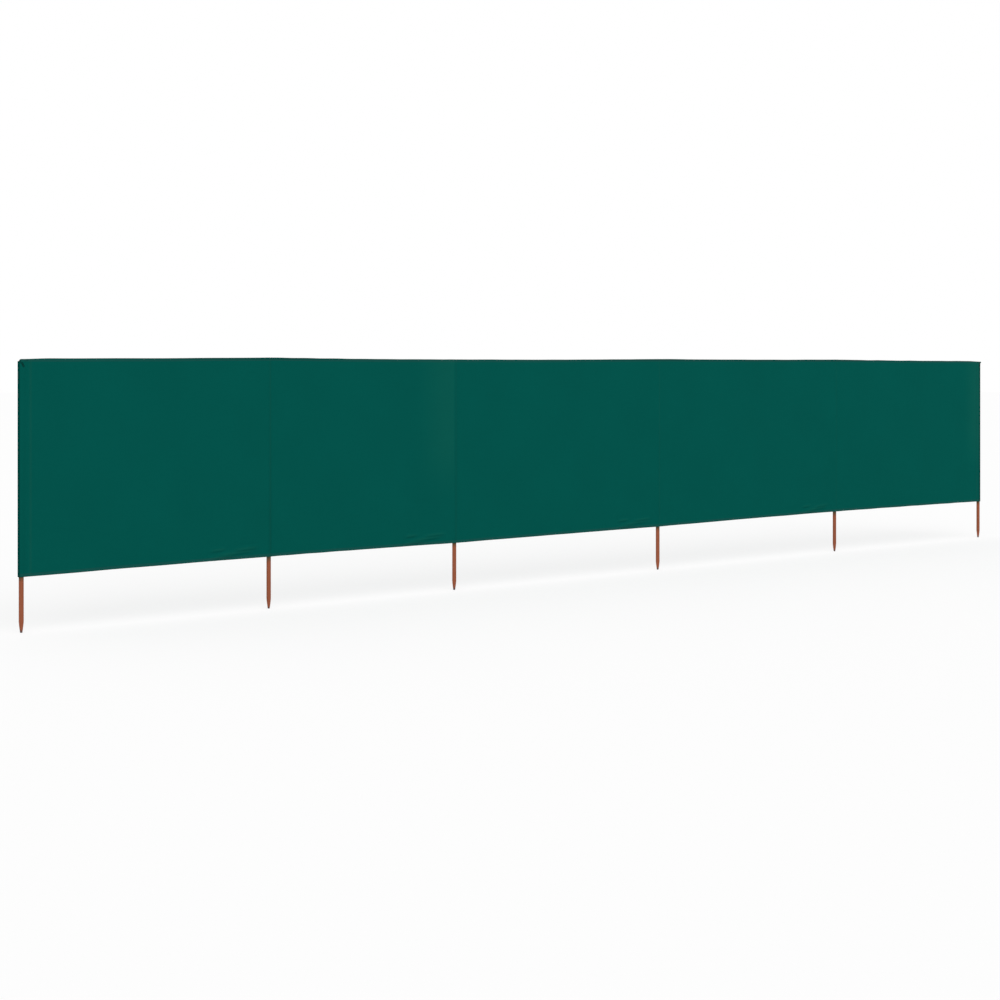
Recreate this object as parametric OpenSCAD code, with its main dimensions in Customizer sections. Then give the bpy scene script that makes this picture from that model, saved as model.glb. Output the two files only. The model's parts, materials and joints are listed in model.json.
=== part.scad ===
// Beach windbreak: one length of cloth held up by six turned poles, in five bays.
// Frame: origin on the blunt foot of the first pole, +X towards the sixth pole,
// +Z up, and the smooth front of the cloth towards -Y. The poles stand behind the cloth.

/* [Bays] */
// Distance between the first and second poles
bay_1_w = 1090; // [700:10:1600]
// Distance between the second and third poles
bay_2_w = 980; // [700:10:1600]
// Distance between the third and fourth poles
bay_3_w = 1280; // [700:10:1600]
// Distance between the fourth and fifth poles
bay_4_w = 1370; // [700:10:1600]
// Distance between the fifth and sixth poles
bay_5_w = 1280; // [700:10:1600]

/* [Bends] */
// Degrees that the row turns away from the front at the second pole
turn_2 = 0.5; // [-20:0.5:20]
// Degrees that the row turns away from the front at the third pole
turn_3 = 0; // [-20:0.5:20]
// Degrees that the row turns away from the front at the fourth pole
turn_4 = 1; // [-20:0.5:20]
// Degrees that the row turns away from the front at the fifth pole
turn_5 = -1.5; // [-20:0.5:20]

/* [Cloth] */
// Height of the cloth
cloth_h = 800; // [500:10:1600]
// Thickness of one layer of cloth
cloth_t = 1; // [0.6:0.1:2]
// Height of the folded hems along the top and bottom edges
hem_h = 12; // [6:1:40]
// Thickness that a folded hem adds behind the cloth
hem_t = 1; // [0.6:0.1:3]

/* [Sleeves] */
// Room all round between a pole and the sleeve that it stands in
sleeve_ease = 1; // [0.3:0.1:4]
// Height of the sewn-up top of a sleeve
sleeve_top_h = 12; // [2:0.5:20]
// Room between the top of a pole and the closed top of its sleeve
pole_top_gap = 0.3; // [0.1:0.1:5]
// Distance from an end pole's middle to the seam that closes its pocket
pocket_w = 28; // [24:1:90]
// Width of the sewn strip at that seam
pocket_seam_w = 5; // [3:0.5:12]

/* [Poles] */
// Diameter of a pole
pole_d = 18; // [12:0.5:30]
// Length of pole that shows below the cloth
foot_len = 205; // [120:5:500]
// Length of the tapered point
point_len = 40; // [20:1:90]
// Diameter of the point's blunt end
point_d = 8; // [4:0.5:12]

/* [Hidden] */
$fn = 64;

// Gap kept between separate pieces of cloth, so that they touch without overlapping
cloth_gap = 0.3;
cloth_colour = "#03524a";
hem_colour = "#124a44";
wood_colour = "#98553a";

bay_widths = [bay_1_w, bay_2_w, bay_3_w, bay_4_w, bay_5_w];
turns = [0, turn_2, turn_3, turn_4, turn_5, 0];
bay_count = len(bay_widths);
pole_count = bay_count + 1;

// Levels
cloth_bottom = foot_len;
cloth_top = foot_len + cloth_h;
pole_top = cloth_top - sleeve_top_h - pole_top_gap;

// The sleeve's tube, and how far the cloth lies in front of the poles' axes
sleeve_ri = pole_d / 2 + sleeve_ease;
sleeve_ro = sleeve_ri + cloth_t;
cloth_back = sleeve_ro + cloth_gap;
cloth_front = cloth_back + cloth_t;
// The two layers of cloth that run from the front seam to the tube
neck_w = 2 * cloth_t;

// Flats that make up the round of an end pocket
arc_steps = 24;
// Direction on an end pocket's round outside where its straight back wall begins
pocket_corner = [pocket_w, neck_w - cloth_front];
pocket_turn = atan2(pocket_corner.y, pocket_corner.x) + acos(cloth_front / norm(pocket_corner));

// Where a hem stops beside a sleeve's tube
hem_back = cloth_back - hem_t;
hem_clear = sqrt(max(0, pow(sleeve_ro, 2) - pow(hem_back, 2))) + cloth_gap;

// Plan of the row. Bays and poles are numbered from 1, from left to right.
function bay_w(n) = bay_widths[n - 1];
function turn_at(n) = turns[n - 1];
function run_heading(n) = n == 1 ? 0 : run_heading(n - 1) + turn_at(n);
function run_step(n) = bay_w(n) * [cos(run_heading(n)), sin(run_heading(n))];
function run_pole(n) = n == 1 ? [0, 0] : run_pole(n - 1) + run_step(n - 1);
run_end = run_pole(pole_count);
// Turning the run by this puts the last pole on the X axis
run_angle = atan2(run_end.y, run_end.x);

function turned(p, a) = [p.x * cos(a) - p.y * sin(a), p.x * sin(a) + p.y * cos(a)];
function pole_at(n) = turned(run_pole(n), -run_angle);
function bay_heading(n) = run_heading(n) - run_angle;
// A sleeve faces halfway between the bays on its two sides
function pole_heading(n) = n == pole_count ? bay_heading(bay_count) : bay_heading(n) - turn_at(n) / 2;
// Length that the bend at a pole adds to the cloth in front of it
function bend_gain(n) = cloth_front * tan(turn_at(n) / 2);

function is_end(n) = n == 1 || n == pole_count;
// How far from pole n the flat cloth of the bays beside it begins
function cloth_start(n) = cloth_gap + (is_end(n) ? pocket_w : neck_w / 2 - bend_gain(n));
function hem_start(n) = is_end(n) ? cloth_start(n) : max(cloth_start(n), hem_clear);

module at_pole(n) {
    translate(pole_at(n)) rotate([0, 0, pole_heading(n)]) children();
}

module in_bay(n) {
    translate(pole_at(n)) rotate([0, 0, bay_heading(n)]) children();
}

// An upright plate in bay n, from x0 to x1 along it, y0 to y1 across it and z0 to z1 up it
module bay_plate(n, x0, x1, y0, y1, z0, z1) {
    in_bay(n) translate([x0, y0, z0]) cube([x1 - x0, y1 - y0, z1 - z0]);
}

module pole(n) {
    color(wood_colour) at_pole(n) {
        cylinder(h = point_len, d1 = point_d, d2 = pole_d);
        translate([0, 0, point_len]) cylinder(h = pole_top - point_len, d = pole_d);
    }
}

module panel(n) {
    x1 = bay_w(n) - cloth_start(n + 1);
    color(cloth_colour)
        bay_plate(n, cloth_start(n), x1, -cloth_front, -cloth_back, cloth_bottom, cloth_top);
}

// A hem behind the cloth of bay n, with its lower edge at height z0
module hem(n, z0) {
    x1 = bay_w(n) - hem_start(n + 1);
    color(hem_colour)
        bay_plate(n, hem_start(n), x1, -cloth_back, -hem_back, z0, z0 + hem_h);
}

module top_hem(n) {
    hem(n, cloth_top - hem_h);
}

module bottom_hem(n) {
    hem(n, cloth_bottom);
}

// Points along a round of radius r, from direction a0 to direction a1
function arc(r, a0, a1) = [
    for (step = [0:arc_steps])
        let (a = a0 + (a1 - a0) * step / arc_steps)
            r * [cos(a), sin(a)]
];

// Plan of an end pocket: round at the pole, straight in front, and a back wall that
// runs from the round to the seam. r is the round's radius and x1 where the plan stops.
module pocket_plan(r, x1) {
    back_y = (r - x1 * cos(pocket_turn)) / sin(pocket_turn);
    polygon(concat(arc(r, pocket_turn, 270), [[x1, -r], [x1, back_y]]));
}

// Pocket that the end of the cloth makes round an end pole, closed at the top
module end_pocket() {
    difference() {
        linear_extrude(cloth_h) pocket_plan(cloth_front, pocket_w);
        translate([0, 0, -1])
            linear_extrude(cloth_h - sleeve_top_h + 1)
                pocket_plan(cloth_front - cloth_t, pocket_w - pocket_seam_w);
    }
}

// Pleat behind the cloth round a pole: a tube with a closed top and a two-layer neck
module pleat() {
    difference() {
        cylinder(h = cloth_h, r = sleeve_ro);
        translate([0, 0, -1]) cylinder(h = cloth_h - sleeve_top_h + 1, r = sleeve_ri);
    }
    neck_y = sleeve_ri + cloth_t / 2;
    translate([-neck_w / 2, -cloth_front, 0]) cube([neck_w, cloth_front - neck_y, cloth_h]);
}

module sleeve(n) {
    color(cloth_colour) at_pole(n) translate([0, 0, cloth_bottom]) {
        if (n == 1) end_pocket();
        else if (n == pole_count) mirror([1, 0, 0]) end_pocket();
        else pleat();
    }
}

pole(1);  // pole_1
pole(2);  // pole_2
pole(3);  // pole_3
pole(4);  // pole_4
pole(5);  // pole_5
pole(6);  // pole_6
sleeve(1);  // sleeve_1
sleeve(2);  // sleeve_2
sleeve(3);  // sleeve_3
sleeve(4);  // sleeve_4
sleeve(5);  // sleeve_5
sleeve(6);  // sleeve_6
panel(1);  // panel_1
panel(2);  // panel_2
panel(3);  // panel_3
panel(4);  // panel_4
panel(5);  // panel_5
top_hem(1);  // top_hem_1
top_hem(2);  // top_hem_2
top_hem(3);  // top_hem_3
top_hem(4);  // top_hem_4
top_hem(5);  // top_hem_5
bottom_hem(1);  // bottom_hem_1
bottom_hem(2);  // bottom_hem_2
bottom_hem(3);  // bottom_hem_3
bottom_hem(4);  // bottom_hem_4
bottom_hem(5);  // bottom_hem_5
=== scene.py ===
"""Beach windbreak: the finished look of one length of cloth held up by six poles in five bays.

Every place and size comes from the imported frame. Each bay is one sheet of real cloth, folded into
its hems and round its poles, with its own sewing. The poles are turned dowels.
"""

import json
import logging
import math
from dataclasses import dataclass
from enum import Enum, IntEnum

import bpy
import numpy as np
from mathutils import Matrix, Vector


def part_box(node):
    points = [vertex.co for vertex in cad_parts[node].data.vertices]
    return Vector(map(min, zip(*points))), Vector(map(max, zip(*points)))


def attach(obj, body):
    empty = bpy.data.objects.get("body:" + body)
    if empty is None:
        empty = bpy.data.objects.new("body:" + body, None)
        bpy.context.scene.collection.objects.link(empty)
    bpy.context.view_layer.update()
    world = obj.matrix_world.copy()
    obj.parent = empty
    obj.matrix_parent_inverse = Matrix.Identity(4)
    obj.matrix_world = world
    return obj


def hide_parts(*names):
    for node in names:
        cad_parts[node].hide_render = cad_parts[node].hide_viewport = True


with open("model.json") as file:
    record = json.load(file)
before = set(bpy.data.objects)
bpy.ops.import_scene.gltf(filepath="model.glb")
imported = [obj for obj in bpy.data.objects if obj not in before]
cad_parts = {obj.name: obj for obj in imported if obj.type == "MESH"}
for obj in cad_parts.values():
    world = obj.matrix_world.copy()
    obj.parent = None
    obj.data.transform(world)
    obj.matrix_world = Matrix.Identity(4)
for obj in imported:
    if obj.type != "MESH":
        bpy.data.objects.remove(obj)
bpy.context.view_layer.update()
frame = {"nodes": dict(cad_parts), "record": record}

MM = 0.001
FULL_TURN = 2 * math.pi
QUARTER_TURN = math.pi / 2
TINY = 1e-5
CLOTH_MAP = "cloth_map"
SHADE_NAME = "rub"
HIGHLIGHT_NAME = "fade"

Colour = tuple[float, float, float]
Scale = tuple[float, float, float]
Socket = bpy.types.NodeSocket

log = logging.getLogger("windbreak")


class Slot(Enum):
    """The record's material slots."""

    WOOD = "stained_wood"
    CLOTH = "cloth"
    HEM = "hem_cloth"


class Zone(IntEnum):
    """What a stretch of the cloth's line in plan belongs to."""

    FRONT = 0
    FOLD = 1
    TUBE = 2
    POCKET = 3


class Side(Enum):
    """An end of a bay."""

    LEFT = "left"
    RIGHT = "right"


class Face(IntEnum):
    """Which side of the cloth a row of stitches lies on."""

    FRONT = -1
    BACK = 1


# ---------------------------------------------------------------- small maths and meshes


def smooth(value: np.ndarray, low: float, high: float) -> np.ndarray:
    """Goes from 0 where value is low to 1 where it is high, with level ends. High may be under low."""
    t = np.clip((np.asarray(value, float) - low) / (high - low), 0, 1)
    return t * t * (3 - 2 * t)


def graded(length: float, fine: float, coarse: float, margin: float) -> np.ndarray:
    """Steps along a length that are fine at both ends and coarse in the middle.

    Args:
        length: The whole length.
        fine: Step at the ends.
        coarse: Step away from the ends.
        margin: How far in the step takes to become coarse.

    Returns:
        Rising distances from 0 to length, both included.
    """
    stops = [0.0]
    while stops[-1] < length:
        near = min(stops[-1], max(length - stops[-1], 0.0))
        stops.append(stops[-1] + fine + (coarse - fine) * float(smooth(near, 0, margin)))
    return np.array(stops) * length / stops[-1]


def unit(vectors: np.ndarray) -> np.ndarray:
    """The vectors at length 1."""
    return vectors / np.maximum(np.linalg.norm(vectors, axis=-1, keepdims=True), 1e-12)


def turned(points: np.ndarray, angle: float) -> np.ndarray:
    """Points in plan, turned anticlockwise about the origin."""
    c, s = math.cos(angle), math.sin(angle)
    return np.stack([points[..., 0] * c - points[..., 1] * s, points[..., 0] * s + points[..., 1] * c], -1)


def ring_faces(rings: int, sides: int) -> list[list[int]]:
    """The faces of a closed rod that is made of rings of vertices.

    Args:
        rings: How many rings it has.
        sides: How many vertices each ring has.

    Returns:
        Each face's vertices: the sides from the first ring on, then the two ends.
    """
    faces = [
        [r * sides + k, r * sides + (k + 1) % sides, (r + 1) * sides + (k + 1) % sides, (r + 1) * sides + k]
        for r in range(rings - 1)
        for k in range(sides)
    ]
    faces.append(list(range(sides))[::-1])
    faces.append([(rings - 1) * sides + k for k in range(sides)])
    return faces


def in_scene(name: str, data: bpy.types.ID) -> bpy.types.Object:
    """Puts a mesh, a lamp or a camera into the scene.

    Args:
        name: The object's name.
        data: The mesh, lamp or camera.

    Returns:
        The object that holds it.
    """
    thing = bpy.data.objects.new(name, data)
    bpy.context.scene.collection.objects.link(thing)
    return thing


def rod_piece(
    name: str, points: list, faces: list, finish: bpy.types.Material
) -> bpy.types.Object:
    """Makes a smooth piece of wood or thread that rides on the one body.

    Args:
        name: The piece's name.
        points: Its vertices.
        faces: Its faces' vertices.
        finish: Its material.

    Returns:
        The piece.
    """
    mesh = bpy.data.meshes.new(name)
    mesh.from_pydata(points, [], faces)
    mesh.polygons.foreach_set("use_smooth", np.ones(len(faces), bool))
    mesh.update()
    mesh.materials.append(finish)
    piece = in_scene(name, mesh)
    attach(piece, "root")
    return piece


@dataclass(frozen=True)
class Waves:
    """Soft seeded ripples over the cloth, the same in each run and other ones in each bay."""

    seed: int
    count: int
    shortest: float
    longest: float
    height: float
    upright: float = 1.0

    def at(self, bay: int, along: np.ndarray, up: np.ndarray) -> np.ndarray:
        """How far the ripples push the cloth.

        Args:
            bay: The bay's number.
            along: Distance along the bay.
            up: Height. It counts upright times, so that under 1 makes ripples that stand.

        Returns:
            The push at each place, about height at its strongest.
        """
        draw = np.random.default_rng(self.seed + bay)
        total = np.zeros(np.broadcast(along, up).shape)
        for _ in range(self.count):
            angle, phase = draw.uniform(0, FULL_TURN, 2)
            length = math.exp(draw.uniform(math.log(self.shortest), math.log(self.longest)))
            run = along * math.cos(angle) + up * self.upright * math.sin(angle)
            total = total + np.sin(FULL_TURN * run / length + phase)
        return self.height * total / math.sqrt(2 * self.count)


# ---------------------------------------------------------------- finishes


class Graph:
    """The nodes of a material or of the surroundings, written one node at a time."""

    COLUMNS = 12
    SPACING = (220, -260)

    def __init__(self, owner: bpy.types.ID) -> None:
        """Starts with no nodes.

        Args:
            owner: The material or world that the nodes are for.
        """
        owner.use_nodes = True
        self.tree = owner.node_tree
        self.tree.nodes.clear()

    def add(self, kind: str, inputs: dict | None = None, **settings: object) -> bpy.types.Node:
        """Adds one node.

        Args:
            kind: The node's type without its ShaderNode prefix.
            inputs: Values or sockets for its inputs, by name or number.
            settings: Properties of the node.

        Returns:
            The new node.
        """
        node = self.tree.nodes.new("ShaderNode" + kind)
        line, column = divmod(len(self.tree.nodes), self.COLUMNS)
        node.location = (self.SPACING[0] * column, self.SPACING[1] * line)
        for name, value in settings.items():
            setattr(node, name, value)
        for name, value in (inputs or {}).items():
            if isinstance(value, Socket):
                self.tree.links.new(value, node.inputs[name])
            else:
                node.inputs[name].default_value = value
        return node

    def maths(self, operation: str, *values: object) -> Socket:
        """One step of arithmetic, with Blender's name for it, on one to three numbers or sockets."""
        return self.add("Math", dict(enumerate(values)), operation=operation).outputs[0]

    def between(self, share: object, first: object, second: object) -> Socket:
        """The number that lies a share of the way from the first to the second."""
        return self.maths("MULTIPLY_ADD", self.maths("SUBTRACT", second, first), share, first)

    def blend(self, share: object, first: object, second: object) -> Socket:
        """The colour that lies a share of the way from the first to the second."""
        return self.add("Mix", {0: share, 6: first, 7: second}, data_type="RGBA").outputs[2]

    def noise(self, place: object, scale: float, detail: float = 3.0) -> Socket:
        """Noise from 0 to 1 at a place, with so many waves to the metre."""
        return self.add("TexNoise", {"Vector": place, "Scale": scale, "Detail": detail}).outputs[0]

    def stretch(self, place: object, scale: Scale) -> Socket:
        """A place with each axis scaled, which draws a pattern out along the axis of the least scale."""
        return self.add("Mapping", {"Vector": place, "Scale": scale}).outputs[0]

    def span(self, value: object, low: float, high: float, start: float, end: float) -> Socket:
        """Maps low..high to start..end and clamps it there."""
        return self.add("MapRange", {0: value, 1: low, 2: high, 3: start, 4: end}, clamp=True).outputs[0]

    def seen(self) -> Socket:
        """Tells how a thing is seen from the light that it gives.

        Returns:
            1 where the camera sees it, also in a mirror or through glass, and else 0.
        """
        ray = self.add("LightPath").outputs
        direct = self.maths("MAXIMUM", ray["Is Camera Ray"], ray["Is Glossy Ray"])
        return self.maths("MAXIMUM", direct, ray["Is Transmission Ray"])

    def surface(
        self, colour: object, height: Socket, bump: tuple[float, float], **more: object
    ) -> bpy.types.Node:
        """The shader of a solid with a fine relief.

        Args:
            colour: The surface's colour.
            height: The relief, from 0 to 1.
            bump: The relief's strength and its depth.
            more: The shader's other inputs, with _ for a space in their names.

        Returns:
            The shader's node.
        """
        normal = self.add("Bump", {"Strength": bump[0], "Distance": bump[1], "Height": height}).outputs[0]
        inputs = {"Base Color": colour, "Normal": normal}
        inputs.update({name.replace("_", " "): value for name, value in more.items()})
        return self.add("BsdfPrincipled", inputs)


def shade(colour: Colour, by: float = 1.0) -> tuple[float, float, float, float]:
    """A colour made lighter or darker, with its alpha."""
    return (*(channel * by for channel in colour), 1.0)


@dataclass(frozen=True)
class Finish:
    """A surface of one sort. It makes its own material."""

    name: str

    def shader(self, g: Graph) -> bpy.types.Node:
        """Adds the finish's nodes and returns its shader."""
        raise NotImplementedError

    def material(self) -> bpy.types.Material:
        """Makes the material.

        Returns:
            The material with the finish's nodes.
        """
        material = bpy.data.materials.new(self.name)
        g = Graph(material)
        g.add("OutputMaterial", {"Surface": self.shader(g).outputs[0]})
        return material


@dataclass(frozen=True)
class ClothFinish(Finish):
    """Matt plain-woven cloth. Its map runs in metres along and up the cloth."""

    colour: Colour
    slub: float = 0.10
    tone: float = 1.0
    thread: float = 1.0 * MM
    slub_scale: tuple[float, float] = (6.0, 900.0)
    cloud: float = 0.05
    cloud_scale: float = 3.5
    # Tone of the cloth under full painted shade.
    shaded: float = 0.52
    # The next two fields make the colour of the painted highlights: a little added red and gains for green
    # and blue.
    highlit_red: float = 0.004
    highlit: tuple[float, float] = (1.16, 1.08)
    # Painted shade and highlight of the weave: its tone in the gaps between threads and on their crowns.
    weave_tones: tuple[float, float] = (0.94, 1.03)
    relief: tuple[float, float] = (0.8, 0.12 * MM)
    roughness: float = 0.92
    sheen: float = 0.03
    sheen_tint: Colour = (0.0, 0.55, 0.45)

    def shader(self, g: Graph) -> bpy.types.Node:
        """Adds the weave, the uneven threads, the clouds of the dye, and the painted shade and painted
        highlights.

        Args:
            g: The material's nodes.

        Returns:
            The cloth's shader.
        """
        place = g.add("UVMap", uv_map=CLOTH_MAP).outputs[0]
        parts = g.add("SeparateXYZ", {0: place}).outputs
        cells = [g.maths("DIVIDE", parts[k], self.thread) for k in range(2)]
        over = g.maths("PINGPONG", g.maths("ADD", *(g.maths("FLOOR", cell) for cell in cells)), 1.0)
        waves = [g.maths("SINE", g.maths("MULTIPLY", cell, math.pi)) for cell in cells]
        height = g.between(over, *(g.maths("ABSOLUTE", wave) for wave in waves))
        run, across = self.slub_scale
        level = g.noise(g.stretch(place, (run, across, 1.0)), 1.0, 2.0)
        upright = g.noise(g.stretch(place, (across, run, 1.0)), 1.0, 2.0)
        slub = g.span(g.between(over, upright, level), 0.2, 0.8, 1 - self.slub / 2, 1 + self.slub / 2)
        cloud = g.noise(place, self.cloud_scale, 4.0)
        cloud = g.span(cloud, 0.3, 0.7, 1 - self.cloud / 2, 1 + self.cloud / 2)
        # Painted shade and painted highlight, each read from an attribute that the mesh carries.
        painted_light = g.add("Attribute", attribute_name=SHADE_NAME).outputs["Fac"]
        highlight = g.add("Attribute", attribute_name=HIGHLIGHT_NAME).outputs["Fac"]
        tone = g.maths("MULTIPLY", slub, cloud)
        # Painted shade: the tone drops where the shade attribute is set, and the weave is darker in its
        # gaps and a touch lighter on its crowns.
        for share, ends in ((painted_light, (self.tone, self.shaded * self.tone)), (height, self.weave_tones)):
            tone = g.maths("MULTIPLY", tone, g.span(share, 0, 1, *ends))
        # Painted highlight: the colour turns lighter and yellower where the highlight attribute is set.
        colour = g.blend(highlight, shade(self.colour), self._highlit())
        colour = g.add("VectorMath", {0: colour, "Scale": tone}, operation="SCALE").outputs[0]
        return g.surface(
            colour,
            height,
            self.relief,
            Roughness=self.roughness,
            Specular_IOR_Level=0.01,
            Sheen_Weight=self.sheen,
            Sheen_Roughness=0.6,
            Sheen_Tint=shade(self.sheen_tint),
        )

    def _highlit(self) -> tuple[float, float, float, float]:
        """The colour of the painted highlights: lighter and a little yellower than the cloth."""
        red, green, blue = self.colour
        return (red + self.highlit_red, green * self.highlit[0], blue * self.highlit[1], 1.0)


@dataclass(frozen=True)
class ThreadFinish(Finish):
    """Twisted sewing thread, a shade off the cloth."""

    colour: Colour
    ply: float = 0.7 * MM
    band: float = 0.31
    relief: tuple[float, float] = (0.6, 0.1 * MM)

    def shader(self, g: Graph) -> bpy.types.Node:
        """Adds the twist of the plies, with painted shade in its grooves and painted highlight on its
        crowns, and the thread's low gloss.

        Args:
            g: The material's nodes.

        Returns:
            The thread's shader.
        """
        place = g.add("TexCoord").outputs["Object"]
        inputs = {"Vector": place, "Scale": self.band / self.ply, "Distortion": 1.0}
        height = g.add("TexWave", inputs, bands_direction="DIAGONAL").outputs["Fac"]
        # Painted shade and highlight: darker in the grooves of the twist, lighter on its crowns.
        colour = g.blend(height, shade(self.colour, 0.75), shade(self.colour, 1.15))
        return g.surface(colour, height, self.relief, Roughness=0.7, Specular_IOR_Level=0.08)


@dataclass(frozen=True)
class WoodFinish(Finish):
    """Turned softwood under a red-brown stain, darker at its point, with a band of painted shade under the
    cloth's lower edge.
    """

    colour: Colour
    # The next three fields place and colour a band of painted shade on the pole, fading out below the
    # cloth's lower edge.
    shade_level: float
    shade_reach: float = 0.020
    shaded: Colour = (0.075, 0.062, 0.030)
    tip_dark: Colour = (0.085, 0.060, 0.055)
    tip_dark_levels: tuple[float, float] = (0.004, 0.013)
    ragged: float = 0.003
    ring_scale: Scale = (60.0, 25.0, 1.1)
    streak_scale: Scale = (18.0, 18.0, 1.6)
    fibre_scale: Scale = (420.0, 420.0, 7.0)
    pore_scale: Scale = (1400.0, 1400.0, 26.0)
    edge_scale: Scale = (160.0, 160.0, 60.0)
    relief: tuple[float, float] = (0.5, 0.25 * MM)

    def shader(self, g: Graph) -> bpy.types.Node:
        """Adds the long grain, the stain that soaked in unevenly, the darker point and the band of painted
        shade under the cloth.

        Args:
            g: The material's nodes.

        Returns:
            The wood's shader.
        """
        place = g.add("TexCoord").outputs["Object"]
        fibres = g.noise(g.stretch(place, self.fibre_scale), 1.0)
        streaks = g.noise(g.stretch(place, self.streak_scale), 1.0, 2.0)
        pores = g.noise(g.stretch(place, self.pore_scale), 1.0, 4.0)
        edge = g.noise(g.stretch(place, self.edge_scale), 1.0)
        inputs = {"Scale": 1.3, "Distortion": 5.0, "Detail": 3.0}
        inputs["Vector"] = g.stretch(place, self.ring_scale)
        rings = g.add("TexWave", inputs, wave_type="BANDS").outputs["Fac"]
        edge = g.span(edge, 0.3, 0.7, -self.ragged, self.ragged)
        height = g.maths("ADD", g.add("SeparateXYZ", {0: place}).outputs[2], edge)
        colour = shade(self.colour, 1.10)
        for share, low, high, start, end, over in (
            (rings, 0.2, 0.9, 0, 1, shade(self.colour, 0.80)),
            (fibres, 0.35, 0.7, 0, 0.5, shade(self.colour, 0.60)),
            (streaks, 0.35, 0.65, 0, 0.35, shade(self.colour, 1.25)),
            (pores, 0.62, 0.72, 0, 0.6, shade(self.colour, 0.40)),
            # Darker towards the tip of the point.
            (height, *self.tip_dark_levels, 0.92, 0, shade(self.tip_dark)),
            # Painted shade: the cloth's shadow on the pole, fading out below its lower edge.
            (height, self.shade_level - self.shade_reach, self.shade_level, 0, 0.9, shade(self.shaded)),
        ):
            colour = g.blend(g.span(share, low, high, start, end), colour, over)
        relief = g.maths("ADD", g.maths("MULTIPLY", fibres, 0.6), g.maths("MULTIPLY", pores, -0.4))
        rough = g.span(fibres, 0.3, 0.7, 0.5, 0.68)
        return g.surface(colour, relief, self.relief, Roughness=rough, Specular_IOR_Level=0.15)


@dataclass(frozen=True)
class FloorFinish(Finish):
    """White studio floor that shows its shadow faintly. Its own light is for the camera only."""

    white: float = 0.86
    veil: float = 0.72

    def shader(self, g: Graph) -> bpy.types.Node:
        """Adds a diffuse white under a veil of plain white in the camera's rays.

        Args:
            g: The material's nodes.

        Returns:
            The floor's shader.
        """
        seen = g.seen()
        base = g.add("BsdfDiffuse", {"Color": g.span(seen, 0, 1, self.white, 1.0)})
        glow = g.add("Emission", {"Strength": 1.0})
        veil = g.maths("MULTIPLY", seen, self.veil)
        return g.add("MixShader", {0: veil, 1: base.outputs[0], 2: glow.outputs[0]})


@dataclass(frozen=True)
class Finishes:
    """Every material of the windbreak, made once."""

    cloth: bpy.types.Material
    hem: bpy.types.Material
    thread: bpy.types.Material
    tack: bpy.types.Material
    wood: bpy.types.Material

    @classmethod
    def make(cls, cloth_bottom: float) -> "Finishes":
        """Makes the materials from the record's colours.

        Args:
            cloth_bottom: The height of the cloth's lower edge, below which the poles get a band of painted
                shade.

        Returns:
            The set of finished materials.
        """
        listed = frame["record"]["materials"]
        colours = {Slot(entry["slot"]): tuple(entry["base_color"]) for entry in listed}
        # The tack thread is darkened to a quarter of the hem's colour: painted shade of the tack's stitch
        # holes.
        dark = tuple(0.25 * channel for channel in colours[Slot.HEM])
        return cls(
            cloth=ClothFinish("green_cloth", colours[Slot.CLOTH], tone=1.03).material(),
            hem=ClothFinish("green_hem_cloth", colours[Slot.HEM], slub=0.14, tone=1.20).material(),
            thread=ThreadFinish("green_thread", colours[Slot.HEM]).material(),
            tack=ThreadFinish("dark_green_thread", dark).material(),
            wood=WoodFinish("stained_wood", colours[Slot.WOOD], cloth_bottom).material(),
        )


# ---------------------------------------------------------------- the row in plan


def node_points(name: str) -> np.ndarray:
    """A CAD node's vertices.

    Args:
        name: The node's name.

    Returns:
        One row for each vertex.
    """
    mesh = frame["nodes"][name].data
    points = np.zeros(len(mesh.vertices) * 3)
    mesh.vertices.foreach_get("co", points)
    return points.reshape(-1, 3)


@dataclass(frozen=True)
class Bay:
    """One bay in plan. In its own frame its left pole is the origin and the cloth's front faces -y."""

    number: int
    origin: np.ndarray
    heading: float
    width: float
    lean_left: float
    lean_right: float
    pockets: tuple[Side, ...]

    def to_row(self, points: np.ndarray) -> np.ndarray:
        """Points in plan, from the bay's frame to the row's."""
        return turned(points, self.heading) + self.origin

    def from_row(self, points: np.ndarray) -> np.ndarray:
        """Points in plan, from the row's frame to the bay's."""
        return turned(points - self.origin, -self.heading)

    def inward(self, side: Side, along: np.ndarray) -> np.ndarray:
        """How far into the bay each place is from the pole at that side."""
        return along if side is Side.LEFT else self.width - along

    def pole(self, side: Side) -> int:
        """The number of the pole at that side."""
        return self.number + (side is Side.RIGHT)


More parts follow.
